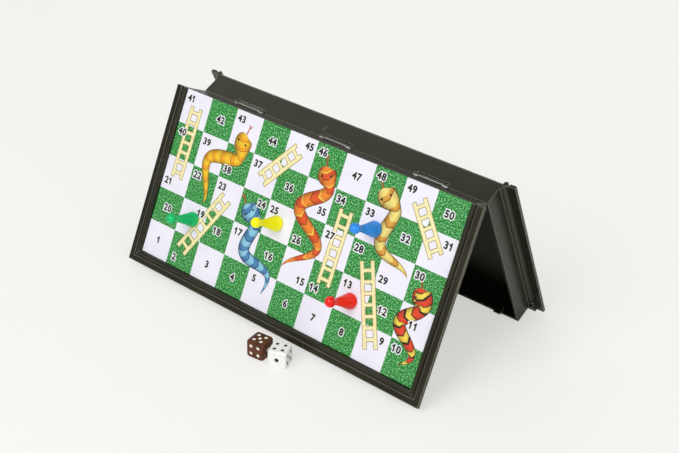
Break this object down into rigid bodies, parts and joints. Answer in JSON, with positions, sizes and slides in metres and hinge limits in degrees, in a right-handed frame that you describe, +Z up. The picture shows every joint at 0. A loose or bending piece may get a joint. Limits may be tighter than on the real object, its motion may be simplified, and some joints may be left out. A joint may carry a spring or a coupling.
{
  "type": "snakes and ladders board",
  "caption": "Folding magnetic snakes and ladders board standing open as a tent, with hinged plastic trays, printed chequered playing faces, pawns and dice.",
  "frame": {"origin": "point on the table midway under the hinge", "axes": "+X along the hinge to the right as the front half is read, +Y towards the rear half, +Z up"},
  "size_m": [0.2484, 0.1628, 0.1167],
  "materials": {
    "black_plastic": "satin moulded",
    "sheet_steel": "bare sheet",
    "printed_film": "printed and laminated",
    "pin_steel": "drawn wire",
    "green_plastic": "gloss moulded",
    "yellow_plastic": "gloss moulded",
    "blue_plastic": "gloss moulded",
    "red_plastic": "gloss moulded",
    "magnet": "pressed ferrite",
    "brown_plastic": "gloss moulded",
    "white_plastic": "gloss moulded",
    "white_paint": "painted",
    "black_paint": "painted"
  },
  "bodies": {
    "front_half": {"front_tray": "black_plastic", "front_steel_sheet": "sheet_steel", "front_playing_sheet": "printed_film", "left_hinge_pin": "pin_steel", "middle_hinge_pin": "pin_steel", "right_hinge_pin": "pin_steel"},
    "rear_half": {"rear_tray": "black_plastic", "rear_steel_sheet": "sheet_steel", "rear_playing_sheet": "printed_film"},
    "green_pawn": {"green_pawn": "green_plastic", "green_pawn_magnet": "magnet"},
    "yellow_pawn": {"yellow_pawn": "yellow_plastic", "yellow_pawn_magnet": "magnet"},
    "blue_pawn": {"blue_pawn": "blue_plastic", "blue_pawn_magnet": "magnet"},
    "red_pawn": {"red_pawn": "red_plastic", "red_pawn_magnet": "magnet"},
    "brown_die": {"brown_die": "brown_plastic", "brown_die_pips": "white_paint"},
    "white_die": {"white_die": "white_plastic", "white_die_pips": "black_paint"}
  },
  "joints": [
    {"name": "board_hinge", "type": "hinge", "parent": "front_half", "child": "rear_half", "pos_m": [0, 0, 0.10885], "axis": [1, 0, 0], "range_deg": [-50, 130]},
    {"name": "green_pawn_lift", "type": "slide", "parent": "front_half", "child": "green_pawn", "axis": [0, -0.9063, 0.4226], "range_m": [0, 0.06]},
    {"name": "yellow_pawn_lift", "type": "slide", "parent": "front_half", "child": "yellow_pawn", "axis": [0, -0.9063, 0.4226], "range_m": [0, 0.06]},
    {"name": "blue_pawn_lift", "type": "slide", "parent": "front_half", "child": "blue_pawn", "axis": [0, -0.9063, 0.4226], "range_m": [0, 0.06]},
    {"name": "red_pawn_lift", "type": "slide", "parent": "front_half", "child": "red_pawn", "axis": [0, -0.9063, 0.4226], "range_m": [0, 0.06]},
    {"name": "brown_die_lift", "type": "slide", "parent": "front_half", "child": "brown_die", "axis": [0, 0, 1], "range_m": [0, 0.06]},
    {"name": "white_die_lift", "type": "slide", "parent": "front_half", "child": "white_die", "axis": [0, 0, 1], "range_m": [0, 0.06]}
  ]
}
